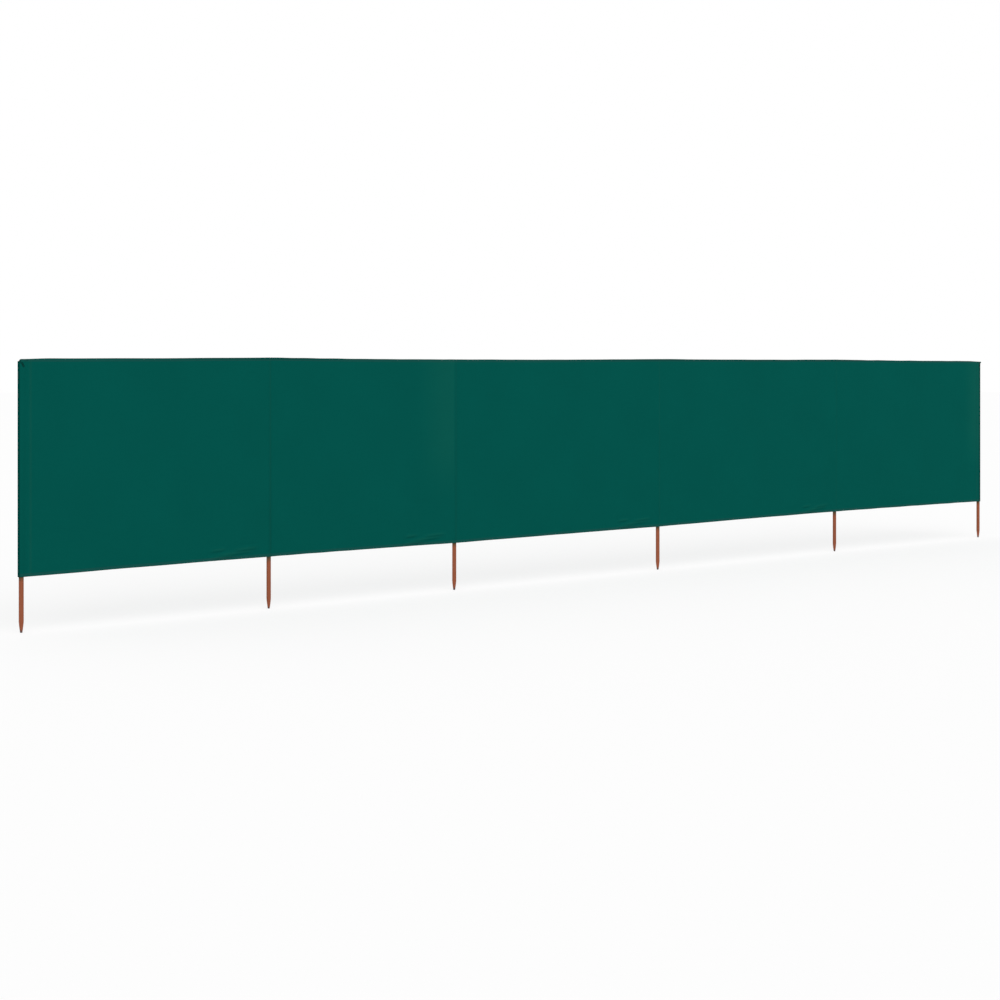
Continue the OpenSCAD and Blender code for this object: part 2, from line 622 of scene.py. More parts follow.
class Row:
    """The plan and levels of the whole row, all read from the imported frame."""

    def __init__(self) -> None:
        """Reads the feet from the record and every level and radius from the CAD nodes."""
        feet = [m for m in frame["record"]["mounts"] if m["name"].startswith("foot_")]
        feet.sort(key=lambda mount: int(mount["name"].split("_")[1]))
        self.poles = np.array([mount["pos_m"][:2] for mount in feet])
        self.foot_level = feet[0]["pos_m"][2]
        steps = np.diff(self.poles, axis=0)
        runs = np.arctan2(steps[:, 1], steps[:, 0])
        self.pole_headings = np.concatenate([runs[:1], (runs[1:] + runs[:-1]) / 2, runs[-1:]])
        self.bays = [
            Bay(
                number=i + 1,
                origin=self.poles[i],
                heading=float(runs[i]),
                width=float(np.hypot(*steps[i])),
                lean_left=float(self.pole_headings[i] - runs[i]),
                lean_right=float(self.pole_headings[i + 1] - runs[i]),
                pockets=(Side.LEFT,) * (i == 0) + (Side.RIGHT,) * (i == len(runs) - 1),
            )
            for i in range(len(runs))
        ]
        self._read_levels()
        self._read_plan()

    def _read_levels(self) -> None:
        """Reads the heights of the cloth, its hems and the poles."""
        low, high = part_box("panel_1")
        self.cloth_bottom, self.cloth_top = low.z, high.z
        self.cloth_height = high.z - low.z
        low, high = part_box("top_hem_1")
        self.hem_height = high.z - low.z
        low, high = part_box("pole_1")
        self.pole_radius = (high.x - low.x) / 2

    def _read_plan(self) -> None:
        """Reads how far the cloth lies before the poles' axes, and the sizes of sleeves and pockets."""
        first, second = self.bays[:2]
        panel = first.from_row(node_points("panel_1")[:, :2])
        self.front = -float(panel[:, 1].mean())
        pleat = turned(node_points("sleeve_2")[:, :2] - second.origin, -self.pole_headings[1])
        self.tube_radius = float(pleat[:, 1].max()) - np.ptp(panel[:, 1]) / 2
        self.pocket_width = float(first.from_row(node_points("sleeve_1")[:, :2])[:, 0].max())

    def rise(self, up: np.ndarray) -> np.ndarray:
        """The share of the cloth's height that lies below each level."""
        return (up - self.cloth_bottom) / self.cloth_height


# ---------------------------------------------------------------- cloth


class Pen:
    """Draws the cloth's line in plan with straight runs and round turns."""

    def __init__(self, at: tuple[float, float], heading: float) -> None:
        """Sets the pen down.

        Args:
            at: Where the line starts.
            heading: Its direction there, anticlockwise from along the bay.
        """
        self.heading = heading
        self.points = [np.array(at, float)]
        self.zones: list[Zone] = []

    def ahead(self, length: float, zone: Zone, spacing: float) -> "Pen":
        """Draws a straight run.

        Args:
            length: How long it is.
            zone: What the stretch belongs to.
            spacing: About how far apart its points are.

        Returns:
            The pen itself.
        """
        start = self.points[-1]
        steps = max(1, round(length / spacing))
        way = np.array([math.cos(self.heading), math.sin(self.heading)])
        for k in range(1, steps + 1):
            self._mark(start + way * (length * k / steps), zone)
        return self

    def turn(self, radius: float, angle: float, zone: Zone, steps: int) -> "Pen":
        """Draws a round turn, anticlockwise where angle is over 0.

        Args:
            radius: Radius of the turn.
            angle: How far the heading turns.
            zone: What the stretch belongs to.
            steps: Number of points along it.

        Returns:
            The pen itself.
        """
        side = math.copysign(radius, angle)
        centre = self.points[-1] + side * np.array([-math.sin(self.heading), math.cos(self.heading)])
        spoke = self.points[-1] - centre
        for k in range(1, steps + 1):
            self._mark(centre + turned(spoke, angle * k / steps), zone)
        self.heading += angle
        return self

    def follow(self, other: "Pen") -> "Pen":
        """Goes on along a line that starts where this one ends.

        Args:
            other: The pen that drew that line.

        Returns:
            The pen itself.
        """
        for at, zone in zip(other.points[1:], other.zones):
            self._mark(at, zone)
        self.heading = other.heading
        return self

    def _mark(self, at: np.ndarray, zone: Zone) -> None:
        """Adds one point, the end of a stretch in that zone."""
        self.points.append(at)
        self.zones.append(zone)


@dataclass(frozen=True)
class Plan:
    """The cloth's whole line in plan for one bay, from left to right with its face on the right."""

    points: np.ndarray
    stretches: np.ndarray

    @classmethod
    def join(cls, left: Pen, right: Pen, width: float) -> "Plan":
        """Joins the line at the left pole to the one at the right with a straight front.

        Args:
            left: The line up to where the front begins.
            right: The right pole's line, drawn in mirror from its free end.
            width: The bay's width, which the mirror is set by.

        Returns:
            The whole line.
        """
        far = np.array(right.points)[::-1] * (-1, 1) + (width, 0)
        near = np.array(left.points)
        gap = far[0] - near[-1]
        shares = graded(float(np.hypot(*gap)), 2.5 * MM, 8.0 * MM, 0.06)[1:-1]
        middle = near[-1] + gap * (shares / np.hypot(*gap))[:, None]
        front = [Zone.FRONT] * (len(middle) + 1)
        return cls(np.concatenate([near, middle, far]), np.array([*left.zones, *front, *right.zones[::-1]]))

    @property
    def along(self) -> np.ndarray:
        """Each point's distance along the line."""
        return np.concatenate([[0], np.cumsum(np.hypot(*np.diff(self.points, axis=0).T))])

    @property
    def zones(self) -> np.ndarray:
        """Each point's zone, taken from the stretch before it or, first, after it."""
        return np.concatenate([self.stretches[:1], self.stretches])


@dataclass(frozen=True)
class ClothCut:
    """Sizes of the cloth and of its folds in plan, the same in every bay."""

    thickness: float = 0.45 * MM
    ply_gap: float = 0.12 * MM
    nose_gap: float = 0.235 * MM
    open_nose_gap: float = 0.32 * MM
    open_seams: tuple[int, ...] = (3,)
    pocket_slack: float = 1.2 * MM
    pocket_allowance: float = 6 * MM
    seam_radius: float = 4 * MM

    @property
    def ply(self) -> float:
        """Distance between the middles of two layers that lie on each other."""
        return self.thickness + self.ply_gap


@dataclass(frozen=True)
class ClothLine:
    """The cloth's line in plan for one bay: its front, and what it does at its two poles."""

    row: Row
    bay: Bay
    cut: ClothCut

    def plan(self) -> Plan:
        """Draws the line.

        Returns:
            The line from the left pocket or seam to the free end at the right.
        """
        bay = self.bay
        if Side.LEFT in bay.pockets:
            left = self._pocket()
        else:
            left = self._nose(bay.pole(Side.LEFT), bay.lean_left)
        if Side.RIGHT in bay.pockets:
            right = self._pocket()
        else:
            right = self._pleat(bay.pole(Side.RIGHT), -bay.lean_right)
        return Plan.join(left, right, bay.width)

    def _pocket(self) -> Pen:
        """An end pole's pocket.

        Returns:
            The sewn strip, the back wall and the round of the pole.
        """
        cut, radius = self.cut, self.row.front
        corner = np.array([self.row.pocket_width, cut.ply - radius])
        spoke = corner + (cut.pocket_slack, 0)
        reach = float(np.hypot(*spoke))
        slope = QUARTER_TURN - math.atan2(spoke[1], spoke[0]) - math.acos(radius / reach)
        fillet = cut.seam_radius * math.tan(slope / 2)
        wall = math.sqrt(reach**2 - radius**2)
        pen = Pen((corner[0] + cut.pocket_allowance, corner[1]), math.pi)
        pen.ahead(cut.pocket_allowance - fillet, Zone.POCKET, 1.5 * MM)
        pen.turn(cut.seam_radius, -slope, Zone.POCKET, 5)
        pen.ahead(wall - fillet, Zone.POCKET, 3 * MM)
        return pen.turn(radius, math.pi + slope, Zone.POCKET, 22)

    def _nose_half(self, pole: int) -> float:
        """How far from the seam's line the middle of a nose's cloth is at its tip."""
        return self.cut.open_nose_gap if pole in self.cut.open_seams else self.cut.nose_gap

    @property
    def _nose_radius(self) -> float:
        """Radius of the fold between the front and the tube's front wall."""
        return (self.row.front - self.row.tube_radius) / 2

    def _nose(self, pole: int, lean: float) -> Pen:
        """The fold that brings the cloth out of the seam to the front.

        Args:
            pole: The pole's number.
            lean: How far the pole's heading turns from the bay's.

        Returns:
            The fold, from the tube outward.
        """
        radius = self._nose_radius
        centre = np.array([self.row.front * math.tan(lean), radius - self.row.front])
        centre[0] += self._nose_half(pole) + radius
        start = centre + radius * np.array([math.cos(QUARTER_TURN + lean), math.sin(QUARTER_TURN + lean)])
        return Pen(tuple(start), math.pi + lean).turn(radius, math.pi - lean, Zone.FOLD, 8)

    def _pleat(self, pole: int, lean: float) -> Pen:
        """A middle pole's whole sleeve.

        Args:
            pole: The pole's number.
            lean: How far the pole's heading turns from the bay's.

        Returns:
            The line from the far side of the seam, round the pole and out to the front.
        """
        radius = self.row.tube_radius
        half = math.asin((self._nose_half(pole) + self._nose_radius) / radius)
        spoke = turned(np.array([0.0, -radius]), lean - half)
        pen = Pen(tuple(spoke), lean - half + math.pi)
        return pen.turn(radius, 2 * half - FULL_TURN, Zone.TUBE, 40).follow(self._nose(pole, lean))


@dataclass(frozen=True)
class ClothSteps:
    """How finely the cloth is divided between its edges."""

    roll: int = 4
    lid: int = 8
    hem: int = 3
    folds: int = 15
    fold_band: float = 52 * MM
    fine: float = 4 * MM
    coarse: float = 17 * MM
    margin: float = 0.12

    def levels(self, row: Row) -> np.ndarray:
        """The heights of the cloth's rows, fine in the hems, over the bottom hem and in the closed tops.

        Args:
            row: The row, for the cloth's edges and hems.

        Returns:
            The heights from the bottom edge to the top one.
        """
        hem = row.cloth_bottom + row.hem_height
        folds = hem + self.fold_band
        lid = row.cloth_top - row.hem_height
        parts = [
            np.linspace(row.cloth_bottom, hem, self.hem + 1)[:-1],
            np.linspace(hem, folds, self.folds + 1)[:-1],
            folds + graded(lid - folds, self.fine, self.coarse, self.margin)[:-1],
            np.linspace(lid, row.cloth_top, self.lid + 1),
        ]
        return np.concatenate(parts)


@dataclass(frozen=True)
class Creases:
    """Short level creases over the bottom hem, where it drags towards the right-hand pole.

    Each place says how far left of the pole a crease is, its height over the edge and its reach.
    """

    depth: float = 2.0 * MM
    width: float = 6.0 * MM
    climb: float = 0.05
    places: tuple[tuple[float, float, float], ...] = (
        (0.225, 17 * MM, 0.055),
        (0.165, 29 * MM, 0.075),
        (0.120, 43 * MM, 0.050),
        (0.250, 45 * MM, 0.030),
    )

    def near(self, bay: Bay, along: np.ndarray, over_edge: np.ndarray, width: float) -> np.ndarray:
        """How near each place is to the middle of a crease.

        Args:
            bay: The bay. One that ends in a pocket has no creases.
            along: Distance along the bay.
            over_edge: Height over the cloth's lower edge.
            width: How wide a crease counts as.

        Returns:
            Shares from 0 to 1.
        """
        total = np.zeros(np.broadcast(along, over_edge).shape)
        if Side.RIGHT in bay.pockets:
            return total
        for back, height, reach in self.places:
            run = along - bay.width + back
            rise = over_edge - height - self.climb * run
            total = total + np.exp(-((run / reach) ** 4)) * np.exp(-((rise / width) ** 2))
        return np.minimum(total, 1.0)


@dataclass(frozen=True)
class ClothHang:
    """How the stretched cloth bellies, ripples, sags and has crept up its poles.

    A crept pair is how far the bottom and the top edge have moved up at a pole. A fan is a corner's
    rays: height, number to the half turn, where they start and are full, and how far they reach.
    """

    belly: float = 4 * MM
    belly_even: float = 0.6
    belly_edge: float = 0.35
    soft: Waves = Waves(40, 7, 0.22, 0.60, 1.1 * MM, 0.8)
    standing: Waves = Waves(60, 5, 0.10, 0.22, 0.35 * MM, 0.15)
    gathers: Waves = Waves(80, 6, 0.026, 0.045, 0.42 * MM, 0.05)
    gather_reach: float = 0.022
    puckers: Waves = Waves(100, 5, 0.018, 0.040, 0.22 * MM)
    pucker_reach: float = 0.012
    seam_dip: float = 0.2 * MM
    seam_dip_reach: float = 0.006
    seam_ease: float = 0.05
    fan: tuple[float, float, float, float, float] = (0.75 * MM, 11, 0.02, 0.09, 0.13)
    creases: Creases = Creases()
    pocket_dip: float = 2.0 * MM
    wander: Waves = Waves(20, 5, 0.12, 0.45, 0.5 * MM, 0.0)
    sag_top: float = 1.6 * MM
    sag_bottom: float = 1.28 * MM
    sag_reach: float = 0.35
    crept: tuple[tuple[float, float], ...] = (
        (0.0, 0.0),
        (5.0 * MM, 5.4 * MM),
        (1.0 * MM, 0.0),
        (2.5 * MM, 4.8 * MM),
        (6.0 * MM, 5.6 * MM),
        (1.0 * MM, 0.0),
    )
    corner_dip: float = 3.4 * MM
    corner_reach: float = 0.12
    corner_drop: float = 3.0 * MM
    corner_turn: float = 5 * MM
    lid_sink: float = 1.0 * MM
    lid_share: float = 0.8


class ClothShape:
    """The middle of one bay's wall of cloth: a point for each place on its line and each level."""

    def __init__(self, row: Row, bay: Bay, cut: ClothCut, hang: ClothHang, steps: ClothSteps) -> None:
        """Works out the cloth's line, its surface and which way that faces.

        Args:
            row: The whole row's plan and levels.
            bay: The bay that the sheet fills.
            cut: Sizes of the cloth.
            hang: How it hangs.
            steps: How finely it is divided.
        """
        self.row, self.bay, self.cut, self.hang, self.steps = row, bay, cut, hang, steps
        self.plan = ClothLine(row, bay, cut).plan()
        self.zones = self.plan.zones
        self.levels = steps.levels(row)
        self.flat = np.repeat(self.plan.points[:, None, :], len(self.levels), 1)
        self.along, self.up = self.flat[..., 0], self.levels[None, :]
        self.points = self._surface()
        self.normals = -unit(np.cross(*(np.gradient(self.points, axis=k) for k in range(2))))

    def _surface(self) -> np.ndarray:
        """Pushes, closes and lifts the cloth's line at every level.

        Returns:
            The points, by place along the line and by level.
        """
        zones, back = self.zones[:, None], -self.row.tube_radius
        self.flat[..., 1] += np.where(zones == Zone.FRONT, self._push(), 0)
        self._close_tops()
        behind = np.where(zones == Zone.TUBE, 1.0, smooth(self.flat[..., 1], back, 0.7 * back))
        closed = np.isin(zones, (Zone.TUBE, Zone.POCKET)) * self._closing()
        height = self.up + self._lift() - self.hang.lid_sink * closed * behind
        return np.concatenate([self.bay.to_row(self.flat), height[..., None]], -1)

    def _seam_ease(self) -> np.ndarray:
        """Eases the ripples at the seams.

        Returns:
            0 at the seams at the bay's two ends and 1 away from them.
        """
        ease = 1.0
        for side in Side:
            start = self.row.pocket_width if side in self.bay.pockets else 0.0
            ease = ease * smooth(self.bay.inward(side, self.along), start, start + self.hang.seam_ease)
        return ease

    def _push(self) -> np.ndarray:
        """Bellies, ripples, creases and gathers the front.

        Returns:
            How far each place stands behind the front's flat plane.
        """
        row, bay, hang, along, up = self.row, self.bay, self.hang, self.along, self.up
        arch = np.sin(math.pi * np.clip(along / bay.width, 0, 1))
        upright = hang.belly_edge + (1 - hang.belly_edge) * np.sin(math.pi * np.clip(row.rise(up), 0, 1))
        belly = (-1 if bay.number % 2 else hang.belly_even) * hang.belly * arch * upright
        from_edge = np.minimum(up - row.cloth_bottom, row.cloth_top - up)
        gathered = np.exp(-from_edge / hang.gather_reach) * hang.gathers.at(bay.number, along, up)
        waves = hang.soft.at(bay.number, along, up) + hang.standing.at(bay.number, along, up) + gathered
        creases = hang.creases.near(bay, along, up - row.cloth_bottom, hang.creases.width)
        pulled = self._seam_pull() - hang.creases.depth * creases + self._pocket_hollow()
        return belly + self._seam_ease() * (waves + self._rays()) + pulled

    def _pocket_hollow(self) -> np.ndarray:
        """Sinks the end pockets' front in between the pole and the pocket's seam.

        Returns:
            The depth at each place.
        """
        total = np.zeros(self.along.shape)
        for side in self.bay.pockets:
            out = self.bay.inward(side, self.along) - 0.4 * self.row.pole_radius
            share = np.clip(out / self.row.pocket_width, 0, 1)
            total = total + self.hang.pocket_dip * np.sin(math.pi * share) ** 2
        return total

    def _seam_pull(self) -> np.ndarray:
        """Pulls the shallow dips and puckers of the stitches in beside each seam.

        Returns:
            The depth at each place.
        """
        hang = self.hang
        total = np.zeros(self.along.shape)
        for side in Side:
            if side not in self.bay.pockets:
                away = np.abs(self.bay.inward(side, self.along))
                dip = hang.seam_dip * np.exp(-away / hang.seam_dip_reach) * smooth(away, 0, 2 * MM)
                pucker = hang.puckers.at(self.bay.number, self.along * 0, self.up)
                pucker = pucker * np.exp(-away / hang.pucker_reach) * smooth(away, 1 * MM, 8 * MM)
                total = total + dip + pucker
        return total

    def _rays(self) -> np.ndarray:
        """Folds the cloth faintly in fans from the four corners where the poles stretch it.

        Returns:
            The push at each place.
        """
        height, count, start, full, reach = self.hang.fan
        total = np.zeros(self.along.shape)
        for i, side in enumerate(Side):
            for j, edge in enumerate((self.row.cloth_bottom, self.row.cloth_top)):
                across, rise = np.abs(self.bay.inward(side, self.along)), np.abs(self.up - edge)
                away, angle = np.hypot(across, rise), np.arctan2(rise, np.maximum(across, TINY))
                phase = 1.7 * self.bay.number + 2.3 * i + 0.9 * j
                fan = np.sin(count * angle + phase) * np.sin(2 * angle)
                total = total + height * fan * smooth(away, start, full) * np.exp(-away / reach)
        return total

    def _close_tops(self) -> None:
        """Draws the sleeves' and pockets' back walls forward over the poles' ends."""
        row, bay, places = self.row, self.bay, self.plan.points[:, 0]
        tops = [(float(bay.inward(side, 0.0)), 0.0, row.front, Zone.POCKET) for side in bay.pockets]
        if Side.RIGHT not in bay.pockets:
            tops.append((bay.width, bay.lean_right, row.tube_radius, Zone.TUBE))
        for at, lean, radius, zone in tops:
            pole = np.array([at, 0.0])
            near = (self.zones == zone) & (np.abs(places - at) < 1.3 * row.pocket_width)
            local = turned(self.flat[near] - pole, -lean)
            depth = local[..., 1] + radius
            target = np.minimum(depth, self.cut.ply * np.clip(depth / (0.3 * radius), 0, 1) ** 0.5)
            local[..., 1] = -radius + depth + (target - depth) * self._closing()
            self.flat[near] = turned(local, lean) + pole

    def _closing(self) -> np.ndarray:
        """How far shut the sleeves and pockets are at each level: 0 over the poles' ends, 1 at the top."""
        depth = 1 + (self.up - self.row.cloth_top) / self.row.hem_height
        return np.sin(np.clip(depth / self.hang.lid_share, 0, 1) * QUARTER_TURN)

    def _lift(self) -> np.ndarray:
        """Sags the cloth's edges, creeps it up its poles and drops its end corners.

        Returns:
            How far each place is above its own level.
        """
        row, bay, hang, along, up = self.row, self.bay, self.hang, self.along, self.up
        share = np.clip(along / bay.width, 0, 1)
        top = smooth(up, row.cloth_top - hang.sag_reach, row.cloth_top)
        bottom = smooth(up, row.cloth_bottom + hang.sag_reach, row.cloth_bottom)
        sag = 4 * share * (1 - share) * (hang.sag_bottom * bottom - hang.sag_top * top)
        wander = hang.wander.at(bay.number, along, up * 0) * self._seam_ease() * (top + bottom)
        left, right = (np.array(hang.crept[bay.pole(side) - 1]) for side in Side)
        low, high = (left[k] + (right[k] - left[k]) * share for k in range(2))
        lift = sag + wander + low + (high - low) * row.rise(up)
        corner = smooth(up, row.cloth_top - row.hem_height, row.cloth_top)
        edge = row.pole_radius
        for side in bay.pockets:
            outward = -bay.inward(side, along)
            dip = hang.corner_dip * smooth(outward, -hang.corner_reach, edge)
            drop = hang.corner_drop * smooth(outward, edge * 0.85, edge + hang.corner_turn)
            lift = lift - (dip + drop) * corner
        return lift

    def has_flap(self) -> np.ndarray:
        """Whether each place on the line carries the folded part of the hems."""
        behind = self.plan.points[:, 1] > -0.55 * self.row.tube_radius
        return np.isin(self.zones, (Zone.FRONT, Zone.POCKET)) | (self.zones == Zone.TUBE) & behind

    def place(self, along: np.ndarray, level: np.ndarray, off: float) -> tuple[np.ndarray, np.ndarray]:
        """Points on or off the cloth, at places on its line.

        Args:
            along: Distances along the line.
            level: The height of each.
            off: How far behind the middle of the cloth they lie.

        Returns:
            The points, and the cloth's back-facing direction at each.
        """
        stops = self.plan.along
        columns = np.interp(along, stops, np.arange(len(stops)))
        rows = np.interp(level, self.levels, np.arange(len(self.levels)))
        i = np.minimum(columns.astype(int), len(stops) - 2)
        j = np.minimum(rows.astype(int), len(self.levels) - 2)
        a, b = (columns - i)[:, None], (rows - j)[:, None]
        found = []
        for grid in (self.points, self.normals):
            near = grid[i, j] * (1 - a) + grid[i + 1, j] * a
            far = grid[i, j + 1] * (1 - a) + grid[i + 1, j + 1] * a
            found.append(near * (1 - b) + far * b)
        normal = unit(found[1])
        return found[0] + normal * off, normal


@dataclass(frozen=True)
class ClothPaintedLight:
    """Where shade and highlights are painted on the cloth.

    A painted light patch has a bay, how far left of its right-hand pole it reaches, and its strength. A
    seam look, one for each pole, has how strongly the pole's painted shadow shows through the front,
    and how strong the painted highlight on the crests of the seam's folds is.
    """

    cloth: ClothShape
    highlit: tuple[tuple[int, float, float], ...] = ((2, 0.24, 0.45), (5, 0.17, 0.6))
    seam_looks: tuple[tuple[float, float], ...] = (
        (1.0, 0.0),
        (1.8, 0.55),
        (1.0, 0.45),
        (0.3, 0.55),
        (0.3, 0.50),
        (1.0, 0.0),
    )
    crest_width: float = 2.2 * MM
    over_pole: tuple[float, float] = (0.04, 0.07)
    edge_width: float = 5.0 * MM
    top_edge: float = 0.5
    bottom_edge: float = 0.2
    end_edge: float = 0.95
    left_end: float = 3.0 * MM
    right_end: float = 24 * MM
    pocket_shine: float = 0.6
    crease_light: float = 0.7
    crease_dark: float = 0.45

    def values(self, points: np.ndarray) -> dict[str, np.ndarray]:
        """How much painted shade and painted highlight the cloth has.

        Args:
            points: The places, by column of the cloth's line.

        Returns:
            The numbers at each place, by the name of their attribute.
        """
        row, bay, creases = self.cloth.row, self.cloth.bay, self.cloth.hang.creases
        along, up = bay.from_row(points[..., :2])[..., 0], points[..., 2]
        front = np.isin(self.cloth.zones, (Zone.FRONT, Zone.FOLD))[:, None]
        rub, highlight = self._edge_shade(along, up), self._highlit(along, up)
        for side in Side:
            shown, painted_light = self.seam_looks[bay.pole(side) - 1]
            out = bay.inward(side, along)
            # Painted shade: the pole's shadow showing through the cloth, darker low down, and full round
            # the tube and pockets.
            least, more = self.over_pole
            strength = least + more * smooth(row.rise(up), 0.8, 0.1)
            over_pole = np.exp(-((out / row.pole_radius) ** 4)) * strength
            rub = np.maximum(rub, np.where(front, shown, 1.0) * over_pole)
            # Painted highlight along the crests of the seam's folds.
            highlight = np.maximum(highlight, front * painted_light * np.exp(-((out / self.crest_width) ** 2)))
        over_edge, width = up - row.cloth_bottom, creases.width
        # Painted highlight along each crease's upper side and painted shade under it.
        light = creases.near(bay, along, over_edge - 0.4 * width, 0.6 * width)
        dark = creases.near(bay, along, over_edge + 0.9 * width, 0.5 * width)
        highlight = np.maximum(highlight, self.crease_light * light)
        highlight = np.maximum(highlight, self._pocket_shine(along))
        return {SHADE_NAME: np.maximum(rub, self.crease_dark * dark), HIGHLIGHT_NAME: highlight}

    def _highlit(self, along: np.ndarray, up: np.ndarray) -> np.ndarray:
        """The painted light patch in the cloth's upper part, left of some poles, where it catches more
        light.

        Args:
            along: Distance along the bay.
            up: Height.

        Returns:
            The share at each place.
        """
        row, bay = self.cloth.row, self.cloth.bay
        right, radius = bay.inward(Side.RIGHT, along), row.pole_radius
        beside = 1.0 if Side.RIGHT in bay.pockets else smooth(right, 0.6 * radius, 1.5 * radius)
        highlight = np.zeros(along.shape)
        # Painted light: a lighter patch where the cloth catches more light.
        for number, reach, strength in self.highlit:
            if number == bay.number:
                patch = smooth(right, reach, 0.2 * reach) * smooth(row.rise(up), 0.2, 0.55)
                highlight = highlight + strength * patch * beside
        return highlight

    def _pocket_shine(self, along: np.ndarray) -> np.ndarray:
        """The painted highlight where a pocket's doubled seam stands proud.

        Args:
            along: Distance along the bay.

        Returns:
            The share at each place.
        """
        cloth, allowance = self.cloth, self.cloth.cut.pocket_allowance
        shine = np.zeros(along.shape)
        for side in cloth.bay.pockets:
            # Painted highlight along the pocket's proud seam.
            off = cloth.bay.inward(side, along) - cloth.row.pocket_width - 0.5 * allowance
            shine = shine + self.pocket_shine * np.exp(-((off / (0.6 * allowance)) ** 2))
        return shine

    def _edge_shade(self, along: np.ndarray, up: np.ndarray) -> np.ndarray:
        """The painted shade along the folds at the cloth's top and bottom edges and at its two ends.

        Args:
            along: Distance along the bay.
            up: Height.

        Returns:
            The share at each place.
        """
        row, bay, width = self.cloth.row, self.cloth.bay, self.edge_width
        # Painted shade along the folds at the top and bottom edges and round the end poles.
        top = self.top_edge * smooth(row.cloth_top - up, width, 0.3 * width)
        bottom = self.bottom_edge * smooth(up - row.cloth_bottom, width, 0.3 * width)
        rub = np.maximum(top, bottom)
        for side in bay.pockets:
            reach = self.left_end if side is Side.LEFT else self.right_end
            from_end = row.front + bay.inward(side, along)
            rub = np.maximum(rub, self.end_edge * smooth(from_end, reach, 0.6 * reach))
        return rub


@dataclass(frozen=True)
class ClothBay:
    """One bay's sheet of cloth with its hems, and the sleeve at its right-hand pole."""

    cloth: ClothShape
    cloth_face: int = 0
    hem_face: int = 1

    @property
    def name(self) -> str:
        """The sheet's name."""
        return f"cloth_bay_{self.cloth.bay.number}"

    def _fold_rows(self, inner: range) -> tuple[np.ndarray, np.ndarray]:
        """The rows of a hem beyond the cloth's edge: the roll, and the flap behind the cloth.

        Args:
            inner: The wall's rows behind which the flap lies, from the edge inward.

        Returns:
            The rows' points and how far past the edge they are, from the edge outward.
        """
        points, normals, cut = self.cloth.points, self.cloth.normals, self.cloth.cut
        radius, edge = cut.ply / 2, inner[0]
        outward = unit(points[:, edge] - points[:, inner[1]])
        rows, past = [], []
        for k in range(1, self.cloth.steps.roll):
            angle = math.pi * k / self.cloth.steps.roll
            bulge = outward * math.sin(angle) + normals[:, edge] * (1 - math.cos(angle))
            rows.append(points[:, edge] + radius * bulge)
            past.append(np.full(len(points), radius * angle))
        for i in inner:
            rows.append(points[:, i] + normals[:, i] * cut.ply)
            past.append(radius * math.pi + np.linalg.norm(points[:, i] - points[:, edge], axis=-1))
        return np.stack(rows, 1), np.stack(past, 1)

    def mesh(self) -> bpy.types.Mesh:
        """Builds the sheet's mesh with its map in metres and its painted shade and highlights.

        Returns:
            The mesh, with the hems' faces marked off from the cloth's.
        """
        cloth, row, steps = self.cloth, self.cloth.row, self.cloth.steps
        count = len(cloth.levels)
        low, low_past = self._fold_rows(range(steps.hem + 1))
        high, high_past = self._fold_rows(range(count - 1, count - steps.lid - 2, -1))
        grid = np.concatenate([low[:, ::-1], cloth.points, high], 1)
        levels = np.broadcast_to(cloth.levels, cloth.points.shape[:2])
        up = np.concatenate([row.cloth_bottom - low_past[:, ::-1], levels, row.cloth_top + high_past], 1)
        along = np.broadcast_to(cloth.plan.along[:, None], up.shape)
        keep = np.ones(up.shape, bool)
        bottom, top = low.shape[1], low.shape[1] + count - 1
        keep[~cloth.has_flap(), :bottom] = False
        keep[~cloth.has_flap(), top + 1 :] = False
        ids = np.full(up.shape, -1)
        ids[keep] = np.arange(keep.sum())
        corners = np.stack([ids[:-1, :-1], ids[1:, :-1], ids[1:, 1:], ids[:-1, 1:]], -1)
        whole = (corners >= 0).all(-1)
        corners, strip = corners[whole], np.nonzero(whole)[1]
        mesh = bpy.data.meshes.new(self.name)
        mesh.from_pydata(grid[keep].tolist(), [], corners.tolist())
        in_hem = (strip < bottom + steps.hem) | (strip >= top - steps.lid)
        finish = np.where(in_hem, self.hem_face, self.cloth_face)
        mesh.polygons.foreach_set("material_index", finish.astype(np.int32))
        mesh.polygons.foreach_set("use_smooth", np.ones(len(corners), bool))
        places = np.stack([along[keep], up[keep]], -1)[corners.reshape(-1)]
        mesh.uv_layers.new(name=CLOTH_MAP).uv.foreach_set("vector", places.astype(np.float32).ravel())
        # Painted shade and painted highlights are stored as attributes on the vertices.
        for name, values in ClothPaintedLight(cloth).values(grid).items():
            layer = mesh.attributes.new(name, "FLOAT", "POINT")
            layer.data.foreach_set("value", values[keep].astype(np.float32))
        mesh.validate()
        mesh.update()
        return mesh

    def build(self, finishes: Finishes) -> bpy.types.Object:
        """Makes the sheet, dresses it and hides the CAD parts that it stands in for.

        Args:
            finishes: The windbreak's materials.

        Returns:
            The sheet of cloth.
        """
        number = self.cloth.bay.number
        piece = in_scene(self.name, self.mesh())
        piece.data.materials.append(finishes.cloth)
        piece.data.materials.append(finishes.hem)
        body = piece.modifiers.new("cloth thickness", "SOLIDIFY")
        body.thickness = self.cloth.cut.thickness
        body.offset = 0
        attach(piece, "root")
        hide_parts(f"panel_{number}", f"top_hem_{number}", f"bottom_hem_{number}")
        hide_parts(f"sleeve_{number + 1}")
        if Side.LEFT in self.cloth.bay.pockets:
            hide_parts("sleeve_1")
        return piece


# ---------------------------------------------------------------- sewing


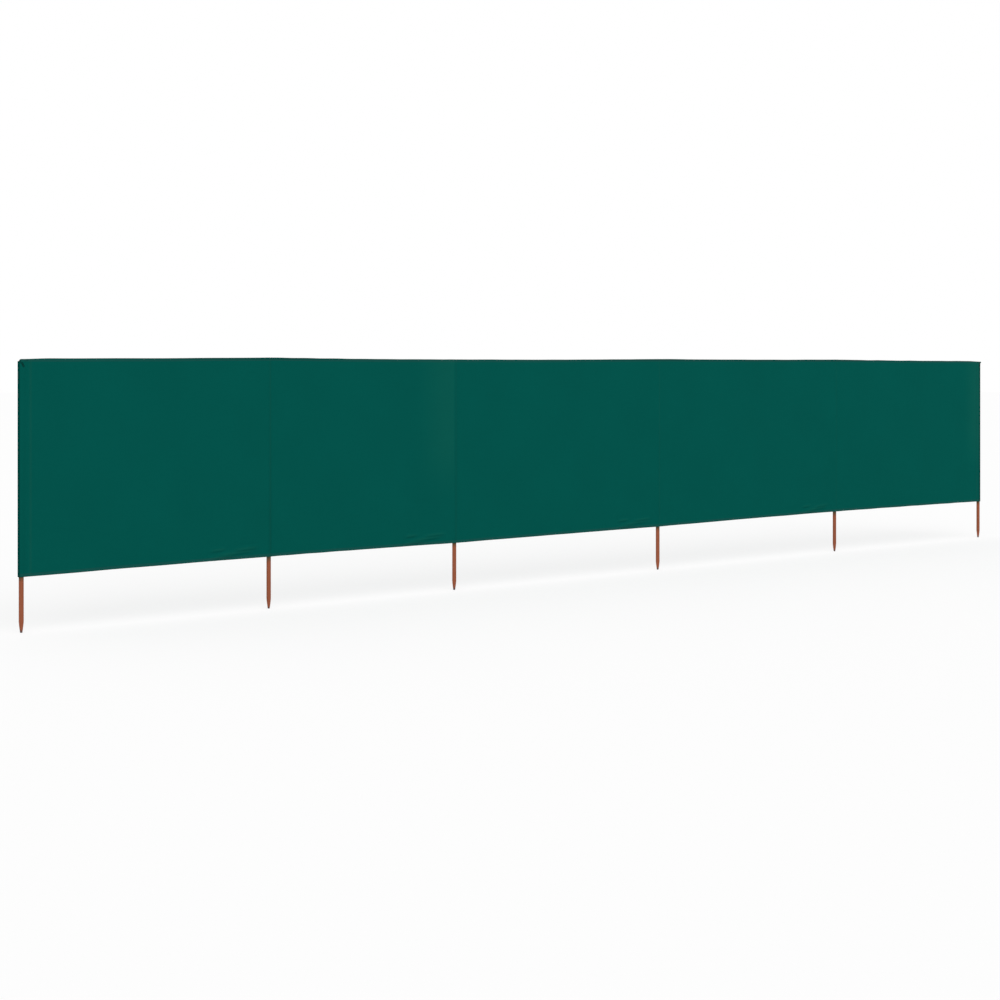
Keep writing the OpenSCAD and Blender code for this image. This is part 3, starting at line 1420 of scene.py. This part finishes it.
@dataclass(frozen=True)
class Stitch:
    """One visible stitch: a short bent length of thread whose ends go into the cloth.

    A bend has its share of the length, and its lift and thickness in radii of the thread. With four
    sides every face has four corners.
    """

    pitch: float = 4.0 * MM
    length: float = 3.1 * MM
    radius: float = 0.26 * MM
    sides: int = 4
    bends: tuple[tuple[float, float, float], ...] = (
        (0.0, -0.7, 0.7),
        (0.22, 0.55, 1.0),
        (0.78, 0.55, 1.0),
        (1.0, -0.7, 0.7),
    )

    def strings(
        self, starts: np.ndarray, ends: np.ndarray, out: np.ndarray
    ) -> tuple[np.ndarray, np.ndarray]:
        """Meshes for many stitches at once.

        Args:
            starts: Where each stitch comes out of the cloth.
            ends: Where it goes back in.
            out: The direction away from the cloth at each.

        Returns:
            The vertices, and the faces' corners.
        """
        side = unit(np.cross(out, unit(ends - starts)))
        rings = []
        for share, lift, size in self.bends:
            centre = starts + (ends - starts) * share + out * self.radius * lift
            for k in range(self.sides):
                angle = FULL_TURN * (k + 0.5) / self.sides
                rings.append(centre + self.radius * size * (side * math.cos(angle) + out * math.sin(angle)))
        points = np.stack(rings, 1)
        corners = np.array(ring_faces(len(self.bends), self.sides))
        shift = np.arange(len(starts))[:, None, None] * points.shape[1]
        return points.reshape(-1, 3), (corners[None] + shift).reshape(-1, 4)


class Sewing:
    """Rows of stitches of one sort in one bay, gathered into one piece."""

    def __init__(self, cloth: ClothShape, stitch: Stitch) -> None:
        """Starts with no stitches.

        Args:
            cloth: The bay's cloth.
            stitch: What each stitch is like.
        """
        self.cloth, self.stitch = cloth, stitch
        self.stitches: list[tuple[np.ndarray, np.ndarray, np.ndarray]] = []

    def row(self, start: tuple[float, float], end: tuple[float, float], face: Face, plies: int = 0) -> None:
        """Sews a straight row on the cloth.

        Args:
            start: Where it starts: its place on the cloth's line and its height.
            end: Where it ends, likewise.
            face: The side it lies on.
            plies: Layers of cloth between the first one and the thread.
        """
        run = np.subtract(end, start)
        length = float(np.hypot(*run))
        count = max(1, round(length / self.stitch.pitch))
        firsts = np.array(start) + run * (np.arange(count) / count)[:, None]
        lasts = firsts + run * self.stitch.length / length
        off = face * self.cloth.cut.thickness / 2 + plies * self.cloth.cut.ply
        starts, normal = self.cloth.place(*firsts.T, off)
        ends, _ = self.cloth.place(*lasts.T, off)
        self.stitches.append((starts, ends, normal * int(face)))

    def ladder(self, inset: tuple[float, float], pitch: float, reach: float) -> None:
        """Sews the short level stitches that hold the front's seam shut at the bay's right-hand pole.

        Args:
            inset: How far from the cloth's bottom and top edges they keep.
            pitch: How far apart they are.
            reach: How far past the seam's folds each goes into the cloth.
        """
        row, bay, cut = self.cloth.row, self.cloth.bay, self.cloth.cut
        lean = bay.lean_right
        seam = np.array([bay.width + row.front * math.tan(lean), -row.front - cut.thickness / 2])
        levels = np.arange(row.cloth_bottom + inset[0], row.cloth_top - inset[1], pitch)
        half = turned(np.array([cut.nose_gap + reach, 0.0]), lean)
        ends = []
        for sign in (-1, 1):
            flat = np.broadcast_to(bay.to_row(seam + sign * half), (len(levels), 2))
            ends.append(np.concatenate([flat, levels[:, None]], -1))
        out = np.append(turned(np.array([0.0, -1.0]), lean + bay.heading), 0.0)
        self.stitches.append((*ends, np.broadcast_to(out, ends[0].shape)))

    def build(self, name: str, finish: bpy.types.Material) -> bpy.types.Object:
        """Makes the piece of thread, with that name and material."""
        points, faces = self.stitch.strings(*(np.concatenate(part) for part in zip(*self.stitches)))
        return rod_piece(name, points.tolist(), faces.tolist(), finish)


@dataclass(frozen=True)
class SewingPlan:
    """Where the rows of stitches run in the cloth of each bay.

    A tack bar's two ends each say how far into the bay from the end pole they are, and how far down.
    """

    cloth: ClothShape
    hem_inset: float = 2.2 * MM
    edge_inset: float = 2.6 * MM
    front_ends: tuple[float, float] = (1 * MM, 2 * MM)
    sleeve_ends: tuple[float, float] = (1 * MM, 4 * MM)
    ladder_inset: tuple[float, float] = (6 * MM, 4 * MM)
    ladder_pitch: float = 7 * MM
    ladder_reach: float = 1.0 * MM
    pocket_stitch: Stitch = Stitch(radius=0.3 * MM)
    pocket_rows: int = 2
    pocket_inset: float = 1.1 * MM
    pocket_gauge: float = 4.14 * MM
    pocket_ends: float = 3 * MM
    tack_stitch: Stitch = Stitch(pitch=2.0 * MM, length=1.9 * MM, radius=0.45 * MM)
    tack_bars: tuple[tuple[tuple[float, float], tuple[float, float]], ...] = (
        ((-10 * MM, 11 * MM), (2 * MM, 33 * MM)),
        ((-3 * MM, 15 * MM), (6 * MM, 31 * MM)),
    )
    tack_rows: int = 3
    tack_gauge: float = 1.1 * MM

    def sew(self, finishes: Finishes) -> list[bpy.types.Object]:
        """Sews a bay's hems, seams, pockets and bar tacks.

        Args:
            finishes: The windbreak's materials.

        Returns:
            The pieces of thread.
        """
        made = [self._hems().build(f"stitching_bay_{self.cloth.bay.number}", finishes.thread)]
        for side in self.cloth.bay.pockets:
            made.append(self._pocket(side).build(f"pocket_stitching_{side.value}", finishes.thread))
            made.append(self._tack(side).build(f"corner_tack_{side.value}", finishes.tack))
        return made

    def _hems(self) -> Sewing:
        """Sews one row in the top hem, two in the bottom hem and the ladder in the front's seam.

        Returns:
            The thread.
        """
        cloth, row, thread = self.cloth, self.cloth.row, Sewing(self.cloth, Stitch())
        front = self._span(cloth.zones == Zone.FRONT, self.front_ends)
        spans = [front]
        if Side.RIGHT not in cloth.bay.pockets:
            spans.append(self._span((cloth.zones == Zone.TUBE) & cloth.has_flap(), self.sleeve_ends))
        top = row.cloth_top - row.hem_height + self.hem_inset
        bottom = row.cloth_bottom + row.hem_height - self.hem_inset
        for level in (top, bottom, row.cloth_bottom + self.edge_inset):
            for start, end in spans:
                thread.row((start, level), (end, level), Face.BACK, plies=1)
            thread.row((front[0], level), (front[1], level), Face.FRONT)
        if Side.RIGHT not in cloth.bay.pockets:
            thread.ladder(self.ladder_inset, self.ladder_pitch, self.ladder_reach)
        return thread

    def _span(self, inside: np.ndarray, inset: tuple[float, float]) -> tuple[float, float]:
        """A row's ends on the cloth's line, so far within the first and last of the points it may use."""
        places = self.cloth.plan.along[inside]
        return float(places[0]) + inset[0], float(places[-1]) - inset[1]

    def _pocket(self, side: Side) -> Sewing:
        """Sews an end pocket's seam in two rows, on the front and on the strip behind it.

        Args:
            side: The end with the pocket.

        Returns:
            The thread.
        """
        row, thread = self.cloth.row, Sewing(self.cloth, self.pocket_stitch)
        low, high = row.cloth_bottom + self.pocket_ends, row.cloth_top - self.pocket_ends
        for k in range(self.pocket_rows):
            out = row.pocket_width + self.pocket_inset + k * self.pocket_gauge
            for place in (self._front_place(side, out), self._strip_place(side, out)):
                thread.row((place, low), (place, high), Face.FRONT)
        return thread

    def _tack(self, side: Side) -> Sewing:
        """Sews the slanting bars of close stitches, in a thread darkened with painted shade, that shut the
        pocket's top corner.

        Args:
            side: The end with the pocket.

        Returns:
            The thread.
        """
        top, thread = self.cloth.row.cloth_top, Sewing(self.cloth, self.tack_stitch)
        for bar in self.tack_bars:
            for k in range(self.tack_rows):
                step = k * self.tack_gauge
                start, end = ((self._corner_place(side, out + step), top - depth) for out, depth in bar)
                thread.row(start, end, Face.FRONT)
        return thread

    def _front_place(self, side: Side, out: float) -> float:
        """The place on the line of a spot on the front.

        Args:
            side: The end that the spot is measured from.
            out: How far it is from that end's pole.

        Returns:
            Its distance along the line.
        """
        plan, bay = self.cloth.plan, self.cloth.bay
        front = (self.cloth.zones == Zone.FRONT) | (np.abs(plan.points[:, 1] + self.cloth.row.front) < TINY)
        return float(np.interp(bay.inward(side, out), plan.points[front][:, 0], plan.along[front]))

    def _strip_place(self, side: Side, out: float) -> float:
        """The place on the line of a spot on the pocket's sewn strip, behind the front."""
        reach = self.cloth.row.pocket_width + self.cloth.cut.pocket_allowance - out
        return reach if side is Side.LEFT else float(self.cloth.plan.along[-1]) - reach

    def _corner_place(self, side: Side, out: float) -> float:
        """The place on the line of a spot by the end pole, where out under 0 is round the pole's side."""
        start, back = self._front_place(side, max(out, 0.0)), min(out, 0.0)
        return start + back if side is Side.LEFT else start - back


# ---------------------------------------------------------------- poles


@dataclass(frozen=True)
class Dowel:
    """One turned pole with a cut point, standing where its CAD pole stands."""

    number: int
    sides: int = 48
    tip_share: float = 0.35
    tip_round: float = 1.4 * MM
    tip_steps: int = 4
    point_belly: float = 0.06
    point_steps: int = 10
    shaft_steps: int = 89
    top_round: float = 1.2 * MM
    top_steps: int = 4
    seed: int = 300
    wander: float = 0.12 * MM
    unround: float = 0.072 * MM
    cuts: int = 7
    cut_depth: float = 0.16 * MM
    cut_end: float = 0.05

    def profile(self) -> list[tuple[float, float]]:
        """Measures the CAD pole and draws the turned one's outline.

        Returns:
            Radius and height of each ring, from the foot up.
        """
        points = node_points(f"pole_{self.number}")
        low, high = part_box(f"pole_{self.number}")
        away = np.hypot(points[:, 0] - (low.x + high.x) / 2, points[:, 1] - (low.y + high.y) / 2)
        radius, tip = float(away.max()), float(away[points[:, 2] < low.z + TINY].max())
        shoulder = float(points[away > radius - TINY, 2].min()) - low.z
        rings = [(tip * self.tip_share, low.z)]
        for k in range(self.tip_steps + 1):
            angle = QUARTER_TURN * k / self.tip_steps
            rise = self.tip_round * (1 - math.cos(angle))
            reach = tip - self.tip_round * (1 - math.sin(angle)) + (radius - tip) * rise / shoulder
            rings.append((reach, low.z + rise))
        for k in range(1, self.point_steps + 1):
            share = k / self.point_steps
            level = self.tip_round + (shoulder - self.tip_round) * share
            belly = self.point_belly * math.sin(math.pi * share)
            rings.append((tip + (radius - tip) * (level / shoulder + belly), low.z + level))
        for level in np.linspace(low.z + shoulder, high.z - self.top_round, self.shaft_steps + 1)[1:]:
            rings.append((radius, float(level)))
        for k in range(1, self.top_steps + 1):
            angle = QUARTER_TURN * k / self.top_steps
            inset, drop = 1 - math.cos(angle), 1 - math.sin(angle)
            rings.append((radius - self.top_round * inset, high.z - self.top_round * drop))
        return rings

    def build(self, row: Row, finishes: Finishes) -> bpy.types.Object:
        """Turns the pole, a little crooked and out of round, and dresses it.

        Args:
            row: The row, for the pole's axis.
            finishes: The windbreak's materials.

        Returns:
            The pole.
        """
        axis = row.poles[self.number - 1]
        rings = self.profile()
        radius = max(r for r, _ in rings)
        phases = np.random.default_rng(self.seed + self.number).uniform(0, FULL_TURN, 6)
        angles = FULL_TURN * np.arange(self.sides) / self.sides
        points = []
        for r, z in rings:
            body = float(smooth(z, 0.0, self.cut_end))
            bow = self.wander * np.sin(z * np.array([7.0, 11.0]) + phases[:2]) * body
            oval = self.unround * (np.sin(2 * angles + phases[2] + 3 * z) - 1)
            cut_depth = self.cut_depth * (1 - body) * smooth(z, 0.001, 0.01)
            cuts = cut_depth * np.cos(self.cuts * angles + phases[3])
            reach = np.minimum(r + (oval + cuts) * min(1.0, r / radius), radius)
            ring = np.stack([np.cos(angles) * reach, np.sin(angles) * reach], -1) + axis + bow * 0.5
            points += [(x, y, z) for x, y in ring]
        faces = ring_faces(len(rings), self.sides)
        piece = rod_piece(f"pole_dowel_{self.number}", points, faces, finishes.wood)
        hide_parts(f"pole_{self.number}")
        return piece


# ---------------------------------------------------------------- studio


@dataclass(frozen=True)
class Studio:
    """Pale floor, soft light and the camera."""

    lens: float = 70.2
    sensor: float = 36.0
    shift: float = -0.1336
    eye: tuple[float, float, float] = (-3.4385, -6.4957, 0.975)
    azimuth: float = math.radians(-41.689)
    clip: tuple[float, float] = (0.05, 500.0)
    sky: float = 0.76
    key_strength: float = 0.9
    key_spread: float = math.radians(50)
    key_from: tuple[float, float, float] = (-0.42, -1.0, 0.90)
    key_distance: float = 6.0
    floor_size: float = 120.0

    def floor(self, level: float) -> bpy.types.Object:
        """Lays the floor under the poles' feet.

        Args:
            level: The floor's height.

        Returns:
            The floor.
        """
        half = self.floor_size / 2
        corners = [(half * x, half * y, level) for x, y in ((-1, -1), (1, -1), (1, 1), (-1, 1))]
        mesh = bpy.data.meshes.new("studio_floor")
        mesh.from_pydata(corners, [], [(0, 1, 2, 3)])
        mesh.materials.append(FloorFinish("studio_floor").material())
        piece = in_scene("studio_floor", mesh)
        return piece

    def light(self) -> None:
        """Makes the white surroundings, dimmer as light than as seen, and one broad soft lamp."""
        world = bpy.data.worlds.new("studio")
        bpy.context.scene.world = world
        g = Graph(world)
        strength = g.span(g.seen(), 0, 1, self.sky, 1.0)
        back = g.add("Background", {"Color": (1, 1, 1, 1), "Strength": strength})
        g.add("OutputWorld", {"Surface": back.outputs[0]})
        lamp = bpy.data.lights.new("soft_key", "SUN")
        lamp.energy = self.key_strength
        lamp.angle = self.key_spread
        key = in_scene("soft_key", lamp)
        key.location = Vector(self.key_from) * self.key_distance
        key.rotation_mode = "QUATERNION"
        key.rotation_quaternion = (-Vector(self.key_from)).to_track_quat("-Z", "Y")

    def camera(self) -> None:
        """Stands the camera before the first pole, level, looking along the row."""
        data = bpy.data.cameras.new("camera")
        data.lens, data.sensor_width, data.shift_y = self.lens, self.sensor, self.shift
        data.clip_start, data.clip_end = self.clip
        camera = in_scene("camera", data)
        camera.location = self.eye
        camera.rotation_euler = (QUARTER_TURN, 0.0, self.azimuth)
        bpy.context.scene.camera = camera


def main() -> None:
    """Builds the windbreak from the ground up, then the studio round it."""
    logging.basicConfig(level=logging.INFO, format="%(name)s: %(message)s")
    bpy.context.scene.view_settings.view_transform = "Standard"
    studio = Studio()
    studio.camera()
    row = Row()
    finishes = Finishes.make(row.cloth_bottom)
    for number in range(1, len(row.poles) + 1):
        piece = Dowel(number).build(row, finishes)
        log.info("%s, %d faces", piece.name, len(piece.data.polygons))
    for bay in row.bays:
        cloth = ClothShape(row, bay, ClothCut(), ClothHang(), ClothSteps())
        sheet = ClothBay(cloth)
        piece = sheet.build(finishes)
        thread = SewingPlan(cloth).sew(finishes)
        for part in thread:
            log.info("%s, %d faces", part.name, len(part.data.polygons))
    studio.floor(row.foot_level)
    studio.light()


if __name__ == "__main__":
    main()
